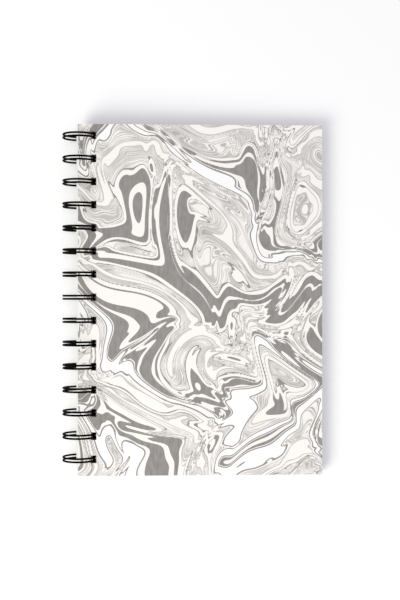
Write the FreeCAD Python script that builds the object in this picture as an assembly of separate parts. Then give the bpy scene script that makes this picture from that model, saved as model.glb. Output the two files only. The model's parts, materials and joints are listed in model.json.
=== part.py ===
"""Twin-loop wire-bound notebook, lying closed on a table with its front cover up.

The leaves are a front cover card, a block of sheets and a back cover card, all cut to one size and punched
with the same row of oblong holes. One continuous wire binds them. It is bent into a comb of hairpin
fingers, and the comb is rolled up through the holes until each rounded finger tip tucks in between its own
two root bends. That closure is hidden between the last sheet and the back cover.

The notebook is made in its own book frame first: sheets flat in XY, the rings' axis along Y through the
origin, spine towards -X, head towards +Y and front cover towards +Z. The rings are deeper than the stack,
so the closed book lies on the ring bottoms and on the fore edge of its back cover, a little tilted.
Lengths are in millimetres and angles in degrees.
"""

import FreeCAD
import Part

import math
import os

# The sheets
LEAF_WIDTH = 135.5  # spine edge to fore edge
LEAF_HEIGHT = 193.1  # head to tail
BLOCK_THICKNESS = 6.5  # sixty sheets pressed together
COVER_THICKNESS = 0.5
COVER_AIR = 0.3  # between the front cover and the first sheet
FORE_EDGE_AIR = 0.15  # between the last sheet and the back cover, at the fore edge

# The row of punched holes
PITCH = 12.7  # two holes to the inch
HEAD_MARGIN = 6.15  # head of the leaf to the middle of the first hole
TAIL_MARGIN = 6.15  # the least from the middle of the last hole to the tail
HOLE_MARGIN = 9.5  # spine edge to the middle of the holes
HOLE_WIDTH = 2.9  # across the spine
HOLE_HEIGHT = 4.2  # along the spine
HOLE_AIR = 0.425  # between the wire and the side of the holes towards the fore edge

# The wire
WIRE_DIAMETER = 1.0
WIRE_SIDES = 6  # flats round the section, and
BEND_SAG = 0.08  # how far a chord leaves a bend's arc: so many true round bends would make the model heavy
RING_RADIUS = 8.8  # of the wire's centre line
STRAND_SPACING = 1.74  # between the two strands of one finger
ROOT_BEND_RADIUS = 1.0
TIP_AIR = 0.08  # between a finger tip and its root bends
LINK_AIR = 0.06  # between the links and the sheets on both sides of them
END_STUB = 2.5  # straight wire left beyond the first and last root bends

# How the leaves hang on the rings
COVER_SETBACK = 0.9  # how far the covers stop short of the sheets at the spine
BACK_COVER_SLIP = 0.6  # the back cover hangs lower on the rings, so it sits this much nearer the spine

# The flat-sided section has the area of the round wire, so its corners reach a little past the wire's radius.
SECTION_SLICE = 2 * math.pi / WIRE_SIDES
WIRE_CORNER = WIRE_DIAMETER / 2 * math.sqrt(SECTION_SLICE / math.sin(SECTION_SLICE))
RING_OUTSIDE = RING_RADIUS + WIRE_CORNER * math.cos(SECTION_SLICE / 2)
FINGER_HALF = STRAND_SPACING / 2
HOLE_RIGHT = RING_RADIUS + WIRE_DIAMETER / 2 + HOLE_AIR
HOLE_LEFT = HOLE_RIGHT - HOLE_WIDTH
SPINE_EDGE = HOLE_RIGHT - HOLE_WIDTH / 2 - HOLE_MARGIN
FORE_EDGE = SPINE_EDGE + LEAF_WIDTH
BLOCK_TOP = BLOCK_THICKNESS / 2
BLOCK_BOTTOM = -BLOCK_THICKNESS / 2

ALONG_SPINE = FreeCAD.Vector(0, 1, 0)
AXIS_POINT = FreeCAD.Vector(0, 0, 0)


def loop_places():
    """The Y of every finger's middle, from the head to the tail: as many as the leaf has room for."""
    count = 1 + math.floor((LEAF_HEIGHT - HEAD_MARGIN - TAIL_MARGIN) / PITCH)
    first = LEAF_HEIGHT / 2 - HEAD_MARGIN
    return [first - PITCH * k for k in range(count)]


def flat_face(corners):
    """The face inside a closed polygon."""
    return Part.Face(Part.makePolygon(corners + corners[:1]))


# Angles round the rings are measured from +X towards +Z.


def root_angle():
    """Where the strands leave the circle for their root bends, so that the links just clear the last sheet."""
    link_height = BLOCK_BOTTOM - LINK_AIR - WIRE_CORNER
    reach = math.hypot(RING_RADIUS, ROOT_BEND_RADIUS)
    lean = math.atan2(ROOT_BEND_RADIUS, RING_RADIUS)
    return math.degrees(lean + math.asin(link_height / reach))


def tip_angle():
    """Where the strands end and the rounded tip begins, so that the tip nests between the root bends."""
    across = FINGER_HALF + ROOT_BEND_RADIUS
    apart = across + 2 * WIRE_CORNER + TIP_AIR
    back = math.sqrt(apart**2 - across**2)
    return root_angle() - math.degrees(back / RING_RADIUS)


def on_ring(angle, y):
    """The point of a strand's centre line at an angle round the ring."""
    a = math.radians(angle)
    return FreeCAD.Vector(RING_RADIUS * math.cos(a), y, RING_RADIUS * math.sin(a))


def outward(angle):
    """The unit vector from the rings' axis at that angle."""
    a = math.radians(angle)
    return FreeCAD.Vector(math.cos(a), 0, math.sin(a))


def forward(angle):
    """The unit vector along a strand at that angle, towards larger angles."""
    a = math.radians(angle)
    return FreeCAD.Vector(-math.sin(a), 0, math.cos(a))


def link_centre():
    """The X and Z of the straight links' centre line."""
    at = on_ring(root_angle(), 0) - forward(root_angle()) * ROOT_BEND_RADIUS
    return at.x, at.z


def back_cover_angle():
    """The angle between the back cover and the block: the links hold them apart at the spine only."""
    link_x, link_z = link_centre()
    wedge = -link_z + WIRE_CORNER + LINK_AIR + BLOCK_BOTTOM - FORE_EDGE_AIR
    return math.degrees(math.asin(wedge / (FORE_EDGE - link_x)))


def back_cover_drop():
    """The distance from the rings' axis to the back cover's inner face, which lies just under the links."""
    link_x, link_z = link_centre()
    a = math.radians(back_cover_angle())
    return link_x * math.sin(a) - link_z * math.cos(a) + WIRE_CORNER + LINK_AIR


def book_tilt():
    """The tilt of the sheets when the ring bottoms and the back cover's fore edge lie on the table."""
    edge_x = FORE_EDGE - BACK_COVER_SLIP
    edge_z = back_cover_drop() + COVER_THICKNESS
    corner = math.hypot(edge_x, edge_z)
    own_tilt = math.asin(RING_OUTSIDE / corner) - math.atan2(edge_z, edge_x)
    return math.degrees(own_tilt) + back_cover_angle()


def leaf(bottom, thickness, setback=0.0, slip=0.0):
    """A leaf or a stack of them, punched: setback trims its spine edge and slip moves it towards the spine."""
    corner = FreeCAD.Vector(SPINE_EDGE + setback - slip, -LEAF_HEIGHT / 2, bottom)
    body = Part.makeBox(LEAF_WIDTH - setback, LEAF_HEIGHT, thickness, corner)
    punches = []
    for y in loop_places():
        foot = FreeCAD.Vector(HOLE_LEFT - slip, y - HOLE_HEIGHT / 2, bottom - thickness)
        punches.append(Part.makeBox(HOLE_WIDTH, HOLE_HEIGHT, 3 * thickness, foot))
    return body.cut(Part.makeCompound(punches))


def make_front_cover():
    """The printed card, lying loose on the first sheet."""
    return leaf(BLOCK_TOP + COVER_AIR, COVER_THICKNESS, COVER_SETBACK)


def make_page_block():
    """All the sheets, pressed together as one block."""
    return leaf(BLOCK_BOTTOM, BLOCK_THICKNESS)


def make_back_cover():
    """The plain card under the links, turned up towards the block at its fore edge."""
    under = -back_cover_drop() - COVER_THICKNESS
    card = leaf(under, COVER_THICKNESS, COVER_SETBACK, BACK_COVER_SLIP)
    card.rotate(AXIS_POINT, ALONG_SPINE, -back_cover_angle())
    return card


class BentWire:
    """A wire as a bender makes it: each straight or bend carries the end section on to the next place.

    The section is a polygon with a flat facing flat_side, and a bend is a run of short mitred chords.
    """

    def __init__(self, start, direction, flat_side):
        across = flat_side.cross(direction)
        angles = [math.pi * (2 * k + 1) / WIRE_SIDES for k in range(WIRE_SIDES)]
        self.end = [start + (flat_side * math.cos(a) + across * math.sin(a)) * WIRE_CORNER for a in angles]
        self.faces = [flat_face(self.end)]

    def carry_on(self, following):
        """Skin the wire from its end section to the following one."""
        for k in range(WIRE_SIDES):
            self.faces.append(flat_face([self.end[k - 1], self.end[k], following[k], following[k - 1]]))
        self.end = following

    def straight(self, run):
        """Push the wire on by a vector."""
        self.carry_on([corner + run for corner in self.end])

    def bend(self, centre, axis, angle, radius):
        """Bend the wire round an axis through centre, in chords that leave the true arc by BEND_SAG at most."""
        widest = 2 * math.degrees(math.acos(1 - BEND_SAG / radius))
        count = math.ceil(abs(angle) / widest)
        turn = FreeCAD.Rotation(axis, angle / count)
        for _ in range(count):
            self.carry_on([centre + turn.multVec(corner - centre) for corner in self.end])

    def solid(self):
        """Cap the far end and close the skin."""
        self.faces.append(flat_face(self.end))
        skin = Part.makeCompound(self.faces)
        skin.sewShape()
        return Part.makeSolid(skin.Shells[0])


def make_binding_wire():
    """The one wire, from its cut end at the head to its cut end at the tail."""
    root = root_angle()
    tip = tip_angle()
    sweep = 360 - (root - tip)
    link_run = PITCH - STRAND_SPACING - 2 * ROOT_BEND_RADIUS
    tail_ward = -ALONG_SPINE
    places = loop_places()

    root_level = on_ring(root, 0)
    link_level = root_level - forward(root) * ROOT_BEND_RADIUS
    start = link_level + ALONG_SPINE * (places[0] + FINGER_HALF + ROOT_BEND_RADIUS + END_STUB)
    wire = BentWire(start, tail_ward, outward(root))
    wire.straight(tail_ward * END_STUB)
    for place in places:
        head_side = ALONG_SPINE * (place + FINGER_HALF)
        tail_side = ALONG_SPINE * (place - FINGER_HALF)
        to_bend = ALONG_SPINE * ROOT_BEND_RADIUS
        # from the link up into the strand on the head side
        wire.bend(root_level + head_side + to_bend, outward(root), -90, ROOT_BEND_RADIUS)
        # round the ring, through every leaf
        wire.bend(head_side, tail_ward, sweep, RING_RADIUS)
        # over the rounded tip
        wire.bend(on_ring(tip, place), outward(tip), 180, FINGER_HALF)
        # back round the ring
        wire.bend(tail_side, ALONG_SPINE, sweep, RING_RADIUS)
        # out of the strand on the tail side, into the next link
        wire.bend(root_level + tail_side - to_bend, outward(root), -90, ROOT_BEND_RADIUS)
        last = place == places[-1]
        wire.straight(tail_ward * (END_STUB if last else link_run))
    return wire.solid()


def resting_place():
    """Book frame to table: tilted, ring bottoms at Z 0, and the middle of the whole at X 0."""
    tilt = math.radians(book_tilt())
    front_top = BLOCK_TOP + COVER_AIR + COVER_THICKNESS
    reach = FORE_EDGE * math.cos(tilt) + front_top * math.sin(tilt)
    middle = (reach - RING_OUTSIDE) / 2
    turned = FreeCAD.Rotation(ALONG_SPINE, math.degrees(tilt))
    return FreeCAD.Placement(FreeCAD.Vector(-middle, 0, RING_OUTSIDE), turned)


def main():
    os.makedirs("parts", exist_ok=True)
    place = resting_place()
    pieces = {
        "front_cover": make_front_cover(),
        "page_block": make_page_block(),
        "back_cover": make_back_cover(),
        "binding_wire": make_binding_wire(),
    }
    for name, piece in pieces.items():
        seated = piece.copy()
        seated.Placement = place * piece.Placement
        seated.exportStep(os.path.join("parts", name + ".step"))
        box = seated.BoundBox
        print(name, "valid", seated.isValid(), "solids", len(seated.Solids), "volume", round(seated.Volume, 1),
              "x", round(box.XMin, 3), round(box.XMax, 3), "z", round(box.ZMin, 3), round(box.ZMax, 3))
    print("rings' axis x", round(place.Base.x, 4), "z", round(place.Base.z, 4), "tilt", round(book_tilt(), 4))


main()
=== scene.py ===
"""A wire-bound notebook with a marbled front cover, lying closed on a white table and seen from above."""

import itertools
import json
import math

import bpy
import numpy as np
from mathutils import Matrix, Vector


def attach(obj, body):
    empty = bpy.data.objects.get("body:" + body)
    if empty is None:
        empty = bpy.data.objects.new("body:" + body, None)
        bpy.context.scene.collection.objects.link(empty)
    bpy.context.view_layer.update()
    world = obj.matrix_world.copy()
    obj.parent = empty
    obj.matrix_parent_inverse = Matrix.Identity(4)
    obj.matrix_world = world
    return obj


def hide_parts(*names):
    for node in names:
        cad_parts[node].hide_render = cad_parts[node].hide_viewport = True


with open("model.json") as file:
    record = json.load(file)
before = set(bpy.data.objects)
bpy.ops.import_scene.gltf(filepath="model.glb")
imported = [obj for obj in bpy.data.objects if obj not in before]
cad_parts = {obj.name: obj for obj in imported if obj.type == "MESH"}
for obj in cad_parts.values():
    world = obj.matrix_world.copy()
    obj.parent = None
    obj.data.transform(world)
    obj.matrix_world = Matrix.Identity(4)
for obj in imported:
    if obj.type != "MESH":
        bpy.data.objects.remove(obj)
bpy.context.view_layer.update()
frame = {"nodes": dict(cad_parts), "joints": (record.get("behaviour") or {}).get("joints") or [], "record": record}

MM = 0.001

# ---------------------------------------------------------------------------------------------------------
# 1. The sheets. Sixty leaves of white writing paper, cut and punched together, so that every hole is a
#    square shaft through the block. They are loose: only the wire keeps them in line, and not perfectly.
# ---------------------------------------------------------------------------------------------------------

LEAF_COUNT = 60
BLOCK_THICKNESS = 6.5 * MM
LEAF_WIDTH = 135.5 * MM
SPINE_OVERLAP = 1.225 * MM  # the leaves' spine edges reach past the rings' axis
HOLE_PITCH = 12.7 * MM
HOLE_COUNT = 15
HEAD_MARGIN = 6.15 * MM
HOLE_MARGIN = 9.5 * MM
HOLE_WIDTH = 2.9 * MM
HOLE_HEIGHT = 4.2 * MM
SHEET_SHARE = 0.86  # of the pitch from leaf to leaf, the rest being air
LEAF_STRAY = 0.005 * MM  # how far a leaf typically lies out of line
WALL_REACH = 0.2 * MM  # how far from a hole a face may lie and still be its wall
FLAT = 0.01 * MM  # a face no higher than this is level
ROUNDING = 1e-9
PAPER_WHITE = (247, 246, 245)

# The book's own axes run from the rings' axis: X to the fore edge, Y to the head, Z out of the front cover.
ring_axis = np.array(frame["joints"][0]["pos_m"])
tail_middle = np.array(frame["record"]["mounts"][0]["pos_m"])
reach = tail_middle - ring_axis
book_tilt = math.atan2(-reach[2], reach[0])
leaf_height = 2 * abs(tail_middle[1])

hole_middles = leaf_height / 2 - HEAD_MARGIN - HOLE_PITCH * np.arange(HOLE_COUNT)
hole_left = HOLE_MARGIN - SPINE_OVERLAP - HOLE_WIDTH / 2
hole_right = hole_left + HOLE_WIDTH


def onto_table(points):
    """Book axes to the row's: turned about Y by the tilt, then moved to the rings' axis."""
    x, y, z = np.moveaxis(points, -1, 0)
    c, s = math.cos(book_tilt), math.sin(book_tilt)
    return np.stack([x * c + z * s, y, z * c - x * s], axis=-1) + ring_axis


def new_piece(name, points, faces, body, smooth=False, placed=True):
    """A mesh object from an (n, 3) array and lists of corners, riding on its body."""
    mesh = bpy.data.meshes.new(name)
    mesh.from_pydata(onto_table(points) if placed else points, [], faces)
    mesh.polygons.foreach_set("use_smooth", np.full(len(mesh.polygons), smooth))
    mesh.update()
    piece = bpy.data.objects.new(name, mesh)
    bpy.context.scene.collection.objects.link(piece)
    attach(piece, body)
    return piece


def lines_between(stops, step):
    """Grid lines through every stop, with the runs between them divided evenly into about that step."""
    runs = [
        np.linspace(a, b, max(1, round((b - a) / step)) + 1)[:-1] for a, b in zip(stops[:-1], stops[1:])]
    return np.concatenate(runs + [stops[-1:]])


def punched_leaf(x_lines, y_lines, bottom, top):
    """Points, quads and underside of a leaf on a grid: every cell whose middle isn't in a hole is solid.

    The top and the cut edges are quads. The plain underside is a face to each side of the holes, and one
    between each two of them, as loops of the grid's points.
    """
    x_middle = (x_lines[:-1] + x_lines[1:]) / 2
    y_middle = (y_lines[:-1] + y_lines[1:]) / 2
    in_row = (np.abs(y_middle[:, None] - hole_middles) < HOLE_HEIGHT / 2).any(axis=1)
    in_column = (x_middle > hole_left) & (x_middle < hole_right)
    solid = ~(in_column[:, None] & in_row[None, :])
    ringed = np.pad(solid, 1)
    number = np.arange(len(x_lines) * len(y_lines)).reshape(len(x_lines), len(y_lines))
    under = number + number.size
    x, y = np.meshgrid(x_lines, y_lines, indexing="ij")
    levels = [np.stack([x, y, np.full(x.shape, z)], axis=-1).reshape(-1, 3) for z in (top, bottom)]
    points = np.concatenate(levels)
    i, j = np.nonzero(solid)
    quads = [np.stack([number[i, j], number[i + 1, j], number[i + 1, j + 1], number[i, j + 1]], axis=1)]
    step_x = np.diff(ringed.astype(int), axis=0)[:, 1:-1]
    step_y = np.diff(ringed.astype(int), axis=1)[1:-1, :]
    for sign in (1, -1):
        i, j = np.nonzero(step_x == sign)
        near, far = (j, j + 1) if sign > 0 else (j + 1, j)
        quads.append(np.stack([number[i, near], number[i, far], under[i, far], under[i, near]], axis=1))
        i, j = np.nonzero(step_y == sign)
        near, far = (i + 1, i) if sign > 0 else (i, i + 1)
        quads.append(np.stack([number[near, j], number[far, j], under[far, j], under[near, j]], axis=1))
    quads = np.concatenate(quads)
    a, b = np.searchsorted(x_lines, (hole_left - ROUNDING, hole_right - ROUNDING))
    last_x, last_y = len(x_lines) - 1, len(y_lines) - 1
    row_ends = [0, *np.flatnonzero(np.diff(in_row.astype(int))) + 1, last_y]
    blocks = [(0, a, 0, last_y), (b, last_x, 0, last_y)]
    blocks += [(a, b, low, high) for low, high in zip(row_ends[::2], row_ends[1::2])]
    underside = [
        np.concatenate([under[i, j:k], under[i:h, k], under[h, k:j:-1], under[h:i:-1, j]])
        for i, h, j, k in blocks]
    used = np.unique(np.concatenate([quads.ravel()] + underside))
    place = np.zeros(2 * number.size, int)
    place[used] = np.arange(len(used))
    return points[used], place[quads], [place[loop] for loop in underside]


def hole_stops():
    """The Y of every hole's two edges, from the tail to the head."""
    edges = np.concatenate([hole_middles - HOLE_HEIGHT / 2, hole_middles + HOLE_HEIGHT / 2])
    return np.sort(edges)


fore_edge = LEAF_WIDTH - SPINE_OVERLAP
shuffle = np.random.default_rng(7)
leaf_x = np.array([-SPINE_OVERLAP, hole_left, hole_right, fore_edge])
leaf_y = np.concatenate([[-leaf_height / 2], hole_stops(), [leaf_height / 2]])
leaf_pitch = BLOCK_THICKNESS / LEAF_COUNT
block_points, block_quads, block_loops, count = [], [], [], 0
for k in range(LEAF_COUNT):
    bottom = -BLOCK_THICKNESS / 2 + leaf_pitch * k
    points, quads, underside = punched_leaf(leaf_x, leaf_y, bottom, bottom + SHEET_SHARE * leaf_pitch)
    points[:, :2] += shuffle.normal(0, LEAF_STRAY, 2)
    block_points.append(points)
    block_quads.append(quads + count)
    block_loops += [loop + count for loop in underside]
    count += len(points)
block_points, block_quads = np.concatenate(block_points), np.concatenate(block_quads)
page_block = new_piece("sheets", block_points, [*block_quads, *block_loops], "pages")
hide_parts("page_block")


def linear(colour):
    """A colour of three values up to 255, as a shader takes it."""
    c = np.array(colour) / 255
    return (*np.where(c < 0.04045, c / 12.92, ((c + 0.055) / 1.055) ** 2.4), 1)


def surface(name, colour, roughness, specular):
    """A material with its node tree and shader, plain so far."""
    material = bpy.data.materials.new(name)
    material.use_nodes = True
    shader = material.node_tree.nodes["Principled BSDF"]
    shader.inputs["Base Color"].default_value = linear(colour)
    shader.inputs["Roughness"].default_value = roughness
    shader.inputs["Specular IOR Level"].default_value = specular
    return material, material.node_tree, shader


def grain(tree, across, along, upright, detail=4.0):
    """Noise on the object's own coordinates, with the size of its grains in metres each way."""
    place = tree.nodes.new("ShaderNodeTexCoord")
    turned = tree.nodes.new("ShaderNodeMapping")
    turned.inputs["Scale"].default_value = (1 / across, 1 / along, 1 / upright)
    noise = tree.nodes.new("ShaderNodeTexNoise")
    noise.inputs["Scale"].default_value = 1.0
    noise.inputs["Detail"].default_value = detail
    tree.links.new(place.outputs["Object"], turned.inputs["Vector"])
    tree.links.new(turned.outputs["Vector"], noise.inputs["Vector"])
    return noise.outputs["Fac"]


def spread(tree, value, low, high, new_low, new_high):
    """The value carried evenly from one range to another, and held at its ends."""
    node = tree.nodes.new("ShaderNodeMapRange")
    for socket, number in zip(("From Min", "From Max", "To Min", "To Max"), (low, high, new_low, new_high)):
        node.inputs[socket].default_value = number
    tree.links.new(value, node.inputs["Value"])
    return node.outputs["Result"]


def mixed(tree, factor, first, second, how="MIX"):
    """Two colours, as sockets or values, mixed by a factor."""
    node = tree.nodes.new("ShaderNodeMix")
    node.data_type = "RGBA"
    node.blend_type = how
    for socket, value in zip((node.inputs[0], node.inputs[6], node.inputs[7]), (factor, first, second)):
        if isinstance(value, bpy.types.NodeSocket):
            tree.links.new(value, socket)
        else:
            socket.default_value = value
    return node.outputs[2]


def raised(tree, shader, value, depth):
    """A bump of the shader's surface by the value, at that depth in metres."""
    node = tree.nodes.new("ShaderNodeBump")
    node.inputs["Distance"].default_value = depth
    tree.links.new(value, node.inputs["Height"])
    tree.links.new(node.outputs["Normal"], shader.inputs["Normal"])


def writing_paper():
    """White uncoated paper: fibres a little longer than wide, and a faint cloudiness from sheet to sheet."""
    material, tree, shader = surface("white_writing_paper", PAPER_WHITE, 0.9, 0.2)
    fibres = spread(tree, grain(tree, 0.3 * MM, 0.8 * MM, 0.1 * MM), 0.3, 0.7, 0.96, 1.0)
    clouds = spread(tree, grain(tree, 9 * MM, 12 * MM, 0.2 * MM, 2.0), 0.3, 0.7, 0.95, 1.0)
    colour = mixed(tree, 1.0, linear(PAPER_WHITE), fibres, "MULTIPLY")
    tree.links.new(mixed(tree, 1.0, colour, clouds, "MULTIPLY"), shader.inputs["Base Color"])
    raised(tree, shader, fibres, 0.03 * MM)
    return material


def painted_shade_wall():
    """The cut walls of the punched holes, painted near black with a rough grain: painted shade for the dark inside
    the holes, on walls of white paper.
    """
    material, tree, shader = surface("hole_wall_painted_shade", (6, 6, 6), 0.95, 0.0)
    layers = spread(tree, grain(tree, 0.4 * MM, 0.4 * MM, 0.1 * MM), 0.3, 0.7, 0.0, 1.0)
    tree.links.new(mixed(tree, layers, linear((3, 3, 3)), linear((9, 9, 9))), shader.inputs["Base Color"])
    return material


def in_holes(points, faces):
    """Which faces are a hole's walls: upright ones with their middle within a hole's reach, edges and all."""
    corners = points[faces]
    middle = corners.mean(axis=1)
    upright = np.ptp(corners[:, :, 2], axis=1) > FLAT
    near_column = (middle[:, 0] > hole_left - WALL_REACH) & (middle[:, 0] < hole_right + WALL_REACH)
    from_hole = np.abs(middle[:, 1, None] - hole_middles).min(axis=1)
    return upright & near_column & (from_hole < HOLE_HEIGHT / 2 + WALL_REACH)


# The sheets' hole walls get painted shade: near black, though their paper is white.
painted_shade_material = painted_shade_wall()
page_block.data.materials.append(writing_paper())
page_block.data.materials.append(painted_shade_material)
painted_shade_faces = np.append(in_holes(block_points, block_quads), np.zeros(len(block_loops)))
page_block.data.polygons.foreach_set("material_index", painted_shade_faces.astype(np.int32))
page_block.data.update()

# ---------------------------------------------------------------------------------------------------------
# 2. The back cover. A plain white card, cut and punched like the sheets. It hangs on the wire below the
#    links, which hold it off the block at the spine, and nothing else fixes it.
# ---------------------------------------------------------------------------------------------------------

CARD_WHITE = (250, 249, 247)


def white_card():
    """Smooth white card: the faint mottle of pressed pulp, and a fine tooth."""
    material, tree, shader = surface("plain_white_card", CARD_WHITE, 0.6, 0.3)
    mottle = spread(tree, grain(tree, 2.5 * MM, 2.5 * MM, 2.5 * MM), 0.3, 0.7, 0.96, 1.0)
    tree.links.new(mixed(tree, 1.0, linear(CARD_WHITE), mottle, "MULTIPLY"), shader.inputs["Base Color"])
    raised(tree, shader, grain(tree, 0.25 * MM, 0.25 * MM, 0.25 * MM), 0.01 * MM)
    return material


def book_axes(points):
    """The row's axes to the book's: the way back from onto_table."""
    x, y, z = np.moveaxis(points - ring_axis, -1, 0)
    c, s = math.cos(book_tilt), math.sin(book_tilt)
    return np.stack([x * c - z * s, y, z * c + x * s], axis=-1)


card_material = white_card()
back_cover = frame["nodes"]["back_cover"]
back_cover.data.materials.clear()
back_cover.data.materials.append(card_material)
back_cover.data.materials.append(painted_shade_material)
back_points = np.empty(3 * len(back_cover.data.vertices))
back_cover.data.vertices.foreach_get("co", back_points)
back_faces = np.empty(3 * len(back_cover.data.polygons), np.int32)
back_cover.data.polygons.foreach_get("vertices", back_faces)
# The back cover's hole walls get the same painted shade, though the card is white.
painted_shade_faces = in_holes(book_axes(back_points.reshape(-1, 3)), back_faces.reshape(-1, 3))
back_cover.data.polygons.foreach_set("material_index", painted_shade_faces.astype(np.int32))
back_cover.data.update()

# ---------------------------------------------------------------------------------------------------------
# 3. The wire. One steel wire in a black nylon coat, bent to a comb of fifteen hairpin fingers and rolled up
#    through the holes. Each finger's tip comes back to its root, between the last sheet and the back cover.
# ---------------------------------------------------------------------------------------------------------

WIRE_RADIUS = 0.55 * MM
WIRE_SIDES = 16
RING_RADIUS = 8.72 * MM
FINGER_HALF = 0.87 * MM
ROOT_BEND_RADIUS = 1.0 * MM
TIP_AIR = 0.12 * MM
LINK_AIR = 0.1 * MM
END_STUB = 2.5 * MM
RING_STEPS = 72
TIP_STEPS = 13
ROOT_STEPS = 7
SAME_PLACE = 1e-6

# Where the strands leave the circle for their root bends and where the tips begin, round the ring from +X
link_drop = BLOCK_THICKNESS / 2 + LINK_AIR + WIRE_RADIUS
root_reach = math.hypot(RING_RADIUS, ROOT_BEND_RADIUS)
root = math.atan2(ROOT_BEND_RADIUS, RING_RADIUS) - math.asin(link_drop / root_reach)
nest_across = FINGER_HALF + ROOT_BEND_RADIUS
nest_apart = nest_across + 2 * WIRE_RADIUS + TIP_AIR
tip = root - math.sqrt(nest_apart**2 - nest_across**2) / RING_RADIUS


def ring_frame(angle):
    """Unit vectors outward from the axis and forward along a strand, at angles round the ring."""
    c, s, nil = np.cos(angle), np.sin(angle), np.zeros(np.shape(angle))
    return np.stack([c, nil, s], axis=-1), np.stack([-s, nil, c], axis=-1)


def bend_on_ring(angle, y, radius, start, end, steps):
    """Part of a circle in the ring's tangent plane: centre + radius (cos t forward + sin t Y)."""
    out, forward = ring_frame(angle)
    t = np.linspace(start, end, steps)[:, None]
    centre = out * RING_RADIUS + np.array([0, y, 0])
    points = centre + radius * (np.cos(t) * forward + np.sin(t) * np.array([0, 1, 0]))
    return points, np.broadcast_to(out, points.shape)


def strand(y, start, end):
    """A strand: the circle RING_RADIUS (cos a, sin a) at one Y."""
    a = np.linspace(start, end, RING_STEPS)
    out, _ = ring_frame(a)
    return out * RING_RADIUS + np.array([0, y, 0]), out


def wire_path():
    """The wire's centre line from head to tail, with the outward direction at each point."""
    full = tip + 2 * math.pi
    quarter = math.pi / 2
    runs = []
    for y in hole_middles:
        headward, tailward = y + nest_across, y - nest_across
        runs.append(bend_on_ring(root, headward, ROOT_BEND_RADIUS, 2 * quarter, 3 * quarter, ROOT_STEPS))
        runs.append(strand(y + FINGER_HALF, root, full))
        runs.append(bend_on_ring(tip, y, FINGER_HALF, quarter, -quarter, TIP_STEPS))
        runs.append(strand(y - FINGER_HALF, full, root))
        runs.append(bend_on_ring(root, tailward, ROOT_BEND_RADIUS, quarter, 2 * quarter, ROOT_STEPS))
    first, last = runs[0], runs[-1]
    stub = np.array([[0, END_STUB, 0]])
    runs.insert(0, (first[0][:1] + stub, first[1][:1]))
    runs.append((last[0][-1:] - stub, last[1][-1:]))
    points = np.concatenate([run[0] for run in runs])
    out = np.concatenate([run[1] for run in runs])
    apart = np.ones(len(points), bool)
    apart[1:] = np.linalg.norm(np.diff(points, axis=0), axis=1) > SAME_PLACE
    return points[apart], out[apart]


def tube(points, out, radius, sides):
    """A tube: centre line + radius (cos t out + sin t across), closed by a flat end at each end."""
    along = np.gradient(points, axis=0)
    along /= np.linalg.norm(along, axis=1, keepdims=True)
    across = np.cross(along, out)
    t = np.linspace(0, 2 * math.pi, sides, endpoint=False)[None, :, None]
    skin = points[:, None] + radius * (np.cos(t) * out[:, None] + np.sin(t) * across[:, None])
    number = np.arange(skin.shape[0] * sides).reshape(-1, sides)
    following = np.roll(number, -1, axis=1)
    quads = np.stack([number[:-1], number[1:], following[1:], following[:-1]], axis=-1).reshape(-1, 4)
    faces = quads.tolist() + [number[0].tolist(), number[-1][::-1].tolist()]
    return skin.reshape(-1, 3), faces


wire_line, wire_out = wire_path()
wire_points, wire_faces = tube(wire_line, wire_out, WIRE_RADIUS, WIRE_SIDES)
wire = new_piece("twin_loop_wire", wire_points, wire_faces, "back", smooth=True)
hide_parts("binding_wire")


def coated_wire():
    """Steel wire in a black nylon coat: nearly matt, with a soft, slightly uneven skin."""
    material, tree, shader = surface("black_coated_wire", (4, 4, 4), 0.6, 0.04)
    skin = grain(tree, 0.6 * MM, 0.6 * MM, 0.6 * MM)
    tree.links.new(mixed(tree, skin, linear((2, 2, 2)), linear((6, 6, 7))), shader.inputs["Base Color"])
    tree.links.new(spread(tree, skin, 0.3, 0.7, 0.55, 0.7), shader.inputs["Roughness"])
    raised(tree, shader, skin, 0.02 * MM)
    return material


wire.data.materials.append(coated_wire())
wire.visible_shadow = False  # a wire this thin leaves no shadow in soft light

# ---------------------------------------------------------------------------------------------------------
# 4. The front cover. Smooth white card, printed to its edges with a marbled pattern in warm grey, cream and
#    white. It has the sheets' size but for a narrow strip at the spine, and lies loose on the first sheet.
# ---------------------------------------------------------------------------------------------------------

COVER_AIR = 0.3 * MM
COVER_THICKNESS = 0.5 * MM
COVER_SETBACK = 0.9 * MM
PRINT_STEP = 0.55 * MM

# The inks as they floated side by side before the bath was stirred, from the first band to the last and
# round again: each band's colour, or strands where the inks ran together finely, and its width in millimetres
BANDS = [
    ("ink", 8), ("cream", 2.6), ("ink", 4), ("strands", 12), ("cream", 5), ("strands", 13), ("bare", 5),
    ("ink", 1.5), ("cream", 2.5), ("ink", 6), ("cream", 2), ("ink", 3.5), ("cream", 2.5), ("strands", 17),
    ("cream", 4), ("strands", 11), ("ink", 2), ("cream", 5), ("strands", 8), ("bare", 6), ("ink", 5),
    ("cream", 2), ("ink", 6), ("cream", 3), ("ink", 2), ("strands", 14), ("cream", 5), ("strands", 10)]
BANDS_TURN = math.radians(62)  # of the line across the bands, from +X
BANDS_START = -128.0  # where along that line the first band begins, from the middle of the spine
# Where a single tine was drawn through: a point on its way, its heading, how far it pulled and how widely
TINES = [(30, 40, -50, 26, 9), (95, -20, 115, 30, 11), (60, -75, 20, 22, 8), (110, 70, -100, 20, 9)]
TINE_THICKNESS = 3.5
# How the bath was stirred: the length of the swells, how far they moved the inks, and of how many waves
STIRS = [(82, 15, 5), (36, 6.5, 6), (15, 1.9, 7), (6, 0.3, 7)]
DEPTH_REACH = 8.0  # a field goes no lower than this
FINEST_BAND = 1.0  # a band drawn out to less begins to break off
STRAND_PITCHES = (4.2, 6.9)
VEIL_LENGTH = 20  # of the swells between the places where the strands are pale and where they are smoky
SLOPE_STEP = 0.2
LEAST_SLOPE = 0.35
STRANDS_GONE_SLOPE = 5.5
STRANDS_FADE = 2.5


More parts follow.
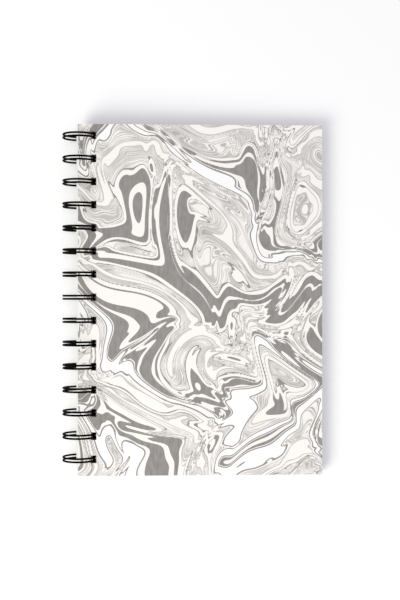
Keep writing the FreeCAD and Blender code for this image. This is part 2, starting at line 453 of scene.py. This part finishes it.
def swell(random, length, count):
    """Wave numbers and phases of a few sine waves of about one length, in random directions."""
    turn = random.uniform(0, 2 * np.pi, count)
    number = 2 * np.pi / (length * random.uniform(0.7, 1.5, count))
    return number * np.cos(turn), number * np.sin(turn), random.uniform(0, 2 * np.pi, count)


def height(waves, x, y):
    """The sum of sin(kx x + ky y + phase) over the waves, scaled to be about one high."""
    return sum(np.sin(kx * x + ky * y + p) for kx, ky, p in zip(*waves)) / math.sqrt(len(waves[0]) / 2)


def stirred(x, y, random, length, reach, count):
    """Both coordinates moved by reach times a swell of their own."""
    across, along = swell(random, length, count), swell(random, length, count)
    return x + reach * height(across, x, y), y + reach * height(along, x, y)


def across_bands(x, y):
    """How far across the floating bands the ink at a point came from, before the tines and the stirring.

    A tine pulls by exp(-distance from its way / width), rounded off by its own thickness, and the stirring
    moves the inks by swells.
    """
    for way_x, way_y, heading, pull, width in TINES:
        c, s = math.cos(math.radians(heading)), math.sin(math.radians(heading))
        off = np.hypot((x - way_x) * s - (y - way_y) * c, TINE_THICKNESS)
        drag = pull * np.exp(-off / width)
        x, y = x - drag * c, y - drag * s
    random = np.random.default_rng(5)
    for length, reach, count in STIRS:
        x, y = stirred(x, y, random, length, reach, count)
    return x * math.cos(BANDS_TURN) + y * math.sin(BANDS_TURN)


def marbling(x, y):
    """The marbling's fields at points in millimetres.

    Each colour's field is the depth in it, over 0 inside and under 0 outside: the distance across the bands
    to its nearest band's edge, over how fast the bands pass there. A band drawn out too finely breaks off.
    The strands are waves across the bands, and fade where they are drawn out too finely.
    """
    place = across_bands(x, y)
    rise_x = across_bands(x + SLOPE_STEP, y) - place
    rise_y = across_bands(x, y + SLOPE_STEP) - place
    slope = np.maximum(np.hypot(rise_x, rise_y) / SLOPE_STEP, LEAST_SLOPE)
    field = {colour: np.full(x.shape, -DEPTH_REACH) for colour in ("ink", "cream", "bare")}
    start, last = BANDS_START, place.max()
    for colour, width in itertools.cycle(BANDS):
        if colour in field:
            depth = (width / 2 - np.abs(place - start - width / 2)) / slope
            depth = depth - np.maximum(FINEST_BAND - width / slope, 0)
            field[colour] = np.maximum(field[colour], depth)
        start += width
        if start > last:
            break
    veil = height(swell(np.random.default_rng(23), VEIL_LENGTH, 6), x, y)
    close, wide = (2 * np.pi * place / pitch for pitch in STRAND_PITCHES)
    strand = 0.72 * np.sin(close + 0.9 * veil) + 0.28 * np.sin(wide + veil)
    field["strand"] = strand * np.clip((STRANDS_GONE_SLOPE - slope) / STRANDS_FADE, 0, 1)
    field["smoke"] = np.clip((veil + 0.5) / 0.9, 0, 1)
    return field


cover_left = COVER_SETBACK - SPINE_OVERLAP
cover_x = lines_between(np.array([cover_left, hole_left, hole_right, fore_edge]), PRINT_STEP)
cover_y = lines_between(leaf_y, PRINT_STEP)
cover_bottom = BLOCK_THICKNESS / 2 + COVER_AIR
cover_top = cover_bottom + COVER_THICKNESS
cover_points, cover_quads, cover_loops = punched_leaf(cover_x, cover_y, cover_bottom, cover_top)
front_cover = new_piece("marbled_cover", cover_points, [*cover_quads, *cover_loops], "front")
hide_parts("front_cover")
on_top = cover_points[:, 2] > cover_bottom + COVER_THICKNESS / 2
for name, values in marbling(*cover_points[on_top, :2].T / MM).items():
    everywhere = np.zeros(len(cover_points), np.float32)
    everywhere[on_top] = values
    front_cover.data.attributes.new(name, "FLOAT", "POINT").data.foreach_set("value", everywhere)

WHITE = (255, 255, 255)
CREAM = (253, 249, 245)
PALE = (230, 227, 224)
SOFT_GREY = (216, 213, 209)
GREY = (201, 197, 193)
SMOKE = (183, 180, 176)
LINE = (152, 148, 144)
DARK = (151, 147, 144)


def ramp(tree, value, stops):
    """Colours along a value, from stops of value, colour and, if given, opacity."""
    low, high = stops[0][0], stops[-1][0]
    node = tree.nodes.new("ShaderNodeValToRGB")
    tree.links.new(spread(tree, value, low, high, 0.0, 1.0), node.inputs["Fac"])
    elements = node.color_ramp.elements
    for _ in stops[2:]:
        elements.new(1.0)
    for element, (at, colour, *opacity) in zip(elements, stops):
        element.position = (at - low) / (high - low)
        element.color = (*linear(colour)[:3], opacity[0] if opacity else 1.0)
    return node


def laid_over(tree, under, over):
    """A ramp's colour over another, by its opacity."""
    return mixed(tree, over.outputs["Alpha"], under, over.outputs["Color"])


def marbled_print():
    """Printed card: strands of grey and cream, then the rims and the fields of each colour over them.

    The dark ink is mottled, as if it had dried on damp paper.
    """
    material, tree, shader = surface("marbled_print", CREAM, 0.5, 0.2)
    read = {}
    for name in ("ink", "cream", "bare", "strand", "smoke"):
        node = tree.nodes.new("ShaderNodeAttribute")
        node.attribute_name = name
        read[name] = node.outputs["Fac"]
    clear = ramp(tree, read["strand"], [
        (-1.0, GREY), (-0.66, SOFT_GREY), (-0.60, CREAM), (-0.34, CREAM), (-0.28, GREY), (-0.12, GREY),
        (-0.06, CREAM), (0.20, CREAM), (0.26, GREY), (0.36, GREY), (0.42, CREAM), (0.80, CREAM), (0.90, PALE),
        (1.0, PALE)])
    smoky = ramp(tree, read["strand"], [
        (-1.0, SMOKE), (-0.70, GREY), (-0.55, SOFT_GREY), (-0.50, CREAM), (-0.34, CREAM), (-0.28, SMOKE),
        (-0.02, GREY), (0.04, CREAM), (0.16, CREAM), (0.22, SOFT_GREY), (0.50, GREY), (0.60, SMOKE),
        (0.75, SOFT_GREY), (1.0, PALE)])
    colour = mixed(tree, read["smoke"], clear.outputs["Color"], smoky.outputs["Color"])
    wisps = spread(tree, grain(tree, 2.2 * MM, 4.5 * MM, 3 * MM, 6.0), 0.3, 0.7, 0.93, 1.0)
    colour = mixed(tree, 1.0, colour, wisps, "MULTIPLY")
    colour = laid_over(tree, colour, ramp(tree, read["ink"], [
        (-2.25, LINE, 0), (-2.15, LINE), (-1.75, LINE), (-1.65, CREAM), (-0.06, CREAM), (0, CREAM, 0)]))
    colour = laid_over(tree, colour, ramp(tree, read["cream"], [
        (-0.80, GREY, 0), (-0.50, GREY, 0.9), (-0.10, GREY, 0.9), (-0.04, CREAM), (1.0, CREAM)]))
    dark = ramp(tree, read["ink"], [(-0.06, DARK, 0), (0.06, DARK), (2.0, DARK)])
    mottle = spread(tree, grain(tree, 1.6 * MM, 5.5 * MM, 3 * MM, 8.0), 0.3, 0.7, 0.86, 1.14)
    mottled = mixed(tree, 1.0, dark.outputs["Color"], mottle, "MULTIPLY")
    colour = mixed(tree, dark.outputs["Alpha"], colour, mottled)
    colour = laid_over(tree, colour, ramp(tree, read["bare"], [
        (-1.50, CREAM, 0), (-1.45, CREAM), (-0.85, CREAM), (-0.75, LINE), (-0.15, LINE), (-0.05, WHITE),
        (1.0, WHITE)]))
    tree.links.new(colour, shader.inputs["Base Color"])
    raised(tree, shader, grain(tree, 0.25 * MM, 0.25 * MM, 0.25 * MM), 0.005 * MM)
    return material


for material in (marbled_print(), card_material, painted_shade_material):
    front_cover.data.materials.append(material)
face_is_top = on_top[cover_quads].all(axis=1)
# Slot 0 is the print on top, slot 1 the white card, slot 2 the hole walls in painted shade.
cover_slots = np.where(in_holes(cover_points, cover_quads), 2, np.where(face_is_top, 0, 1))
cover_slots = np.append(cover_slots, np.ones(len(cover_loops)))
front_cover.data.polygons.foreach_set("material_index", cover_slots.astype(np.int32))
front_cover.data.update()

# ---------------------------------------------------------------------------------------------------------
# 5. The table, the light and the camera. A matt white table top, far wider than the notebook, under one broad
#    soft lamp beyond the tail end of the spine and an even sky. The camera looks straight down.
# ---------------------------------------------------------------------------------------------------------

TABLE_SIZE = 4.0
TABLE_COLOUR = (0.85, 0.85, 0.855, 1)
CAMERA_HEIGHT = 0.5615
CAMERA_OVER = 66.7 * MM
CAMERA_LENS = 60.0
KEY_POWER = 14.8
KEY_PLACE = (-0.78, -0.78, 0.9)
KEY_SIZE = 0.9
KEY_COLOUR = (1.0, 1.005, 0.9)
SKY_COLOUR = (0.957, 0.947, 1.015)
TABLE_LIFT = 0.18
PAINTED_SHADE_REACH = 12 * MM
SKY_LEVEL = 0.64

half = TABLE_SIZE / 2
table_mesh = bpy.data.meshes.new("table")
table_corners = [(-half, -half, 0), (half, -half, 0), (half, half, 0), (-half, half, 0)]
table_mesh.from_pydata(table_corners, [], [(0, 1, 2, 3)])
table = bpy.data.objects.new("table", table_mesh)
bpy.context.scene.collection.objects.link(table)
table_material = bpy.data.materials.new("white_table")
table_material.use_nodes = True
nodes, links = table_material.node_tree.nodes, table_material.node_tree.links
table_shader = nodes["Principled BSDF"]
table_shader.inputs["Base Color"].default_value = TABLE_COLOUR
table_shader.inputs["Roughness"].default_value = 1.0
table_shader.inputs["Specular IOR Level"].default_value = 0.0

# What is seen of the table is lifted to white, but the lift fades by ambient occlusion within a small reach of the
# notebook: painted shade, darkening the notebook's shadow and the table seen through the holes. No light comes
# from the lift.
glow = nodes.new("ShaderNodeEmission")
rays = nodes.new("ShaderNodeLightPath")
seen = rays.outputs["Is Camera Ray"]
for kind in ("Is Glossy Ray", "Is Transmission Ray"):
    either = nodes.new("ShaderNodeMath")
    either.operation = "MAXIMUM"
    links.new(seen, either.inputs[0])
    links.new(rays.outputs[kind], either.inputs[1])
    seen = either.outputs[0]
painted_shade_ao = nodes.new("ShaderNodeAmbientOcclusion")
painted_shade_ao.inputs["Distance"].default_value = PAINTED_SHADE_REACH
lift = nodes.new("ShaderNodeMath")
lift.operation = "MULTIPLY"
links.new(seen, lift.inputs[0])
links.new(painted_shade_ao.outputs["AO"], lift.inputs[1])
glow.inputs["Color"].default_value = (TABLE_LIFT, TABLE_LIFT, TABLE_LIFT, 1)
links.new(lift.outputs[0], glow.inputs["Strength"])
both = nodes.new("ShaderNodeAddShader")
links.new(table_shader.outputs[0], both.inputs[0])
links.new(glow.outputs[0], both.inputs[1])
links.new(both.outputs[0], nodes["Material Output"].inputs["Surface"])
table.data.materials.append(table_material)

world = bpy.data.worlds.new("studio")
bpy.context.scene.world = world
world.use_nodes = True
world.node_tree.nodes["Background"].inputs["Color"].default_value = (*SKY_COLOUR, 1)
world.node_tree.nodes["Background"].inputs["Strength"].default_value = SKY_LEVEL

key_data = bpy.data.lights.new("key", "AREA")
key_data.energy = KEY_POWER
key_data.size = KEY_SIZE
key_data.color = KEY_COLOUR
key = bpy.data.objects.new("key", key_data)
key.location = KEY_PLACE
bpy.context.scene.collection.objects.link(key)
key.rotation_euler = (-Vector(KEY_PLACE)).to_track_quat("-Z", "Y").to_euler()

camera_data = bpy.data.cameras.new("camera")
camera_data.lens = CAMERA_LENS
camera_data.sensor_width = 36.0
camera = bpy.data.objects.new("camera", camera_data)
camera.location = (ring_axis[0] + CAMERA_OVER, 0, CAMERA_HEIGHT)
bpy.context.scene.collection.objects.link(camera)
bpy.context.scene.camera = camera

bpy.context.scene.view_settings.view_transform = "Standard"
